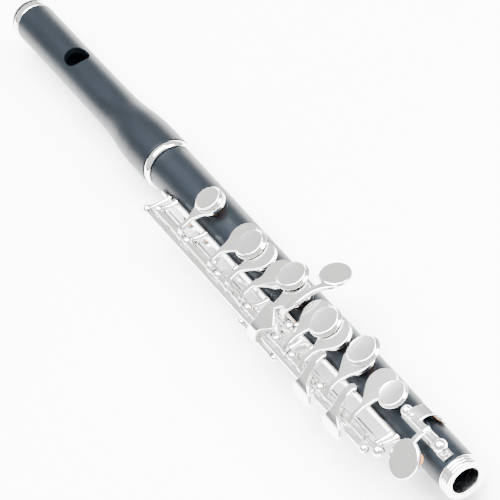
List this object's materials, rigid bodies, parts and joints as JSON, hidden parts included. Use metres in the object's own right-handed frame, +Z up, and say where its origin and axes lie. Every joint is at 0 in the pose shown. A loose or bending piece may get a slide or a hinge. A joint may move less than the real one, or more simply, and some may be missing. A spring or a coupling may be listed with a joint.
{
  "type": "piccolo",
  "caption": "Piccolo with a black composite tube and silver-plated keys; the head joint slides and turns, and each key swings on its rod.",
  "frame": {"origin": "middle of the underside of the bounding box, key cups open as at rest", "axes": "+X along the tube from the crown to the foot; +Z up through the finger keys, with the mouth hole turned 9 degrees from it towards +Y; the key rods are on the -Y side"},
  "size_m": [0.3148, 0.0418, 0.0306],
  "materials": {
    "composite": "satin black composite with a blue cast",
    "silver_plate": "bright silver plate",
    "steel": "turned steel",
    "blued_steel": "blued spring wire",
    "pad_skin": "tan bladder skin",
    "cork": "plain cork"
  },
  "bodies": {
    "body_joint": {"body_tube": "composite", "tenon_cork": "cork", "foot_ring": "silver_plate", "trill_strap": "silver_plate", "main_strap": "silver_plate", "gsharp_strap": "silver_plate", "dsharp_strap": "silver_plate", "thumb_strap": "silver_plate", "left_rod": "steel", "right_rod": "steel", "gsharp_rod": "steel", "dsharp_rod": "steel", "thumb_rod": "steel", "lever_rod": "steel", "spring_c": "blued_steel", "spring_bb": "blued_steel", "spring_a": "blued_steel", "spring_g_lower": "blued_steel", "spring_f": "blued_steel", "spring_e": "blued_steel", "spring_d": "blued_steel", "spring_dsharp": "blued_steel"},
    "socket": {"socket_sleeve": "silver_plate"},
    "head_joint": {"head_tube": "composite", "socket_ring": "silver_plate"},
    "crown": {"crown_cap": "composite", "crown_ring": "silver_plate"},
    "stopper": {"stopper_screw": "steel", "stopper_cork": "cork", "stopper_plate": "composite"},
    "c_key": {"c_key": "silver_plate", "c_pad": "pad_skin"},
    "bb_key": {"bb_key": "silver_plate", "bb_pad": "pad_skin"},
    "a_key": {"a_key": "silver_plate", "a_pad": "pad_skin"},
    "g_key": {"g_key": "silver_plate", "g_pad": "pad_skin"},
    "g_lower_key": {"g_lower_key": "silver_plate", "g_lower_pad": "pad_skin"},
    "fsharp_key": {"fsharp_key": "silver_plate", "fsharp_pad": "pad_skin"},
    "f_key": {"f_key": "silver_plate", "f_pad": "pad_skin"},
    "e_key": {"e_key": "silver_plate", "e_pad": "pad_skin"},
    "d_key": {"d_key": "silver_plate", "d_pad": "pad_skin"},
    "trill_d": {"trill_d_key": "silver_plate", "trill_d_pad": "pad_skin"},
    "trill_dsharp": {"trill_dsharp_key": "silver_plate", "trill_dsharp_pad": "pad_skin"},
    "gsharp": {"gsharp_key": "silver_plate", "gsharp_pad": "pad_skin"},
    "dsharp": {"dsharp_key": "silver_plate", "dsharp_pad": "pad_skin"},
    "thumb_b": {"thumb_b_key": "silver_plate", "thumb_b_pad": "pad_skin"},
    "thumb_bb_lever": {"thumb_bb_lever": "silver_plate"},
    "side_lever": {"bb_side_lever": "silver_plate"}
  },
  "joints": [
    {"name": "head_slide", "type": "slide", "parent": "body_joint", "child": "socket", "axis": [-1, 0, 0], "range_m": [0, 0.008]},
    {"name": "head_turn", "type": "hinge", "parent": "socket", "child": "head_joint", "pos_m": [-0.0488, 0.00177, 0.01436], "axis": [1, 0, 0], "continuous": true},
    {"name": "crown_turn", "type": "hinge", "parent": "head_joint", "child": "crown", "pos_m": [-0.1548, 0.00177, 0.01436], "axis": [1, 0, 0], "range_deg": [-360, 360]},
    {"name": "stopper_slide", "type": "slide", "parent": "head_joint", "child": "stopper", "axis": [1, 0, 0], "range_m": [-0.0008, 0.0008]},
    {"name": "c_press", "type": "hinge", "parent": "body_joint", "child": "c_key", "pos_m": [0.0019, -0.01363, 0.02096], "axis": [-1, 0, 0], "range_deg": [0, 8.2], "stiffness_Nm_per_rad": 0.012, "springref_deg": -17.19},
    {"name": "bb_press", "type": "hinge", "parent": "body_joint", "child": "bb_key", "pos_m": [0.0257, -0.01363, 0.02096], "axis": [-1, 0, 0], "range_deg": [0, 8.2], "stiffness_Nm_per_rad": 0.012, "springref_deg": -17.19},
    {"name": "a_press", "type": "hinge", "parent": "body_joint", "child": "a_key", "pos_m": [0.0378, -0.01363, 0.02096], "axis": [-1, 0, 0], "range_deg": [0, 8.2], "stiffness_Nm_per_rad": 0.012, "springref_deg": -17.19},
    {"name": "g_press", "type": "hinge", "parent": "body_joint", "child": "g_key", "pos_m": [0.0492, -0.01363, 0.02096], "axis": [-1, 0, 0], "range_deg": [0, 8.2], "stiffness_Nm_per_rad": 0.012, "springref_deg": -17.19},
    {"name": "g_lower_press", "type": "hinge", "parent": "body_joint", "child": "g_lower_key", "pos_m": [0.0611, -0.01363, 0.02096], "axis": [-1, 0, 0], "range_deg": [0, 8.2], "stiffness_Nm_per_rad": 0.012, "springref_deg": -17.19},
    {"name": "fsharp_press", "type": "hinge", "parent": "body_joint", "child": "fsharp_key", "pos_m": [0.074, -0.01363, 0.02096], "axis": [-1, 0, 0], "range_deg": [0, 8.2], "stiffness_Nm_per_rad": 0.012, "springref_deg": -17.19},
    {"name": "f_press", "type": "hinge", "parent": "body_joint", "child": "f_key", "pos_m": [0.0861, -0.01363, 0.02096], "axis": [-1, 0, 0], "range_deg": [0, 8.2], "stiffness_Nm_per_rad": 0.012, "springref_deg": -17.19},
    {"name": "e_press", "type": "hinge", "parent": "body_joint", "child": "e_key", "pos_m": [0.1004, -0.01363, 0.02096], "axis": [-1, 0, 0], "range_deg": [0, 8.2], "stiffness_Nm_per_rad": 0.012, "springref_deg": -17.19},
    {"name": "d_press", "type": "hinge", "parent": "body_joint", "child": "d_key", "pos_m": [0.1148, -0.01363, 0.02096], "axis": [-1, 0, 0], "range_deg": [0, 8.2], "stiffness_Nm_per_rad": 0.012, "springref_deg": -17.19},
    {"name": "trill_d_press", "type": "hinge", "parent": "body_joint", "child": "trill_d", "pos_m": [0.0362, -0.01623, 0.01956], "axis": [-1, 0, 0], "range_deg": [0, 8], "stiffness_Nm_per_rad": 0.012, "springref_deg": -17.19},
    {"name": "trill_dsharp_press", "type": "hinge", "parent": "body_joint", "child": "trill_dsharp", "pos_m": [0.0512, -0.01623, 0.01956], "axis": [-1, 0, 0], "range_deg": [0, 8], "stiffness_Nm_per_rad": 0.012, "springref_deg": -17.19},
    {"name": "gsharp_press", "type": "hinge", "parent": "body_joint", "child": "gsharp", "pos_m": [0.0622, -0.00773, 0.02186], "axis": [-1, 0, 0], "range_deg": [0, 7], "stiffness_Nm_per_rad": 0.012, "springref_deg": -17.19},
    {"name": "dsharp_press", "type": "hinge", "parent": "body_joint", "child": "dsharp", "pos_m": [0.1382, 0.00137, 0.02451], "axis": [1, 0, 0], "range_deg": [0, 8], "stiffness_Nm_per_rad": 0.012, "springref_deg": -17.19},
    {"name": "thumb_b_press", "type": "hinge", "parent": "body_joint", "child": "thumb_b", "pos_m": [0.0212, -0.01143, 0.01096], "axis": [1, 0, 0], "range_deg": [0, 10], "stiffness_Nm_per_rad": 0.012, "springref_deg": -17.19},
    {"name": "thumb_bb_press", "type": "hinge", "parent": "body_joint", "child": "thumb_bb_lever", "pos_m": [0.0342, -0.01143, 0.01096], "axis": [1, 0, 0], "range_deg": [0, 8], "stiffness_Nm_per_rad": 0.012, "springref_deg": -17.19},
    {"name": "side_lever_press", "type": "hinge", "parent": "body_joint", "child": "side_lever", "pos_m": [0.0622, -0.01783, 0.01726], "axis": [-1, 0, 0], "range_deg": [0, 4], "stiffness_Nm_per_rad": 0.012, "springref_deg": -17.19}
  ],
  "couplings": [
    {"joint": "bb_press", "follows": "a_press", "ratio": 1},
    {"joint": "g_lower_press", "follows": "g_press", "ratio": 1},
    {"joint": "fsharp_press", "follows": "f_press", "ratio": 1},
    {"joint": "stopper_slide", "follows": "crown_turn", "m_per_rad": 0.000127}
  ]
}
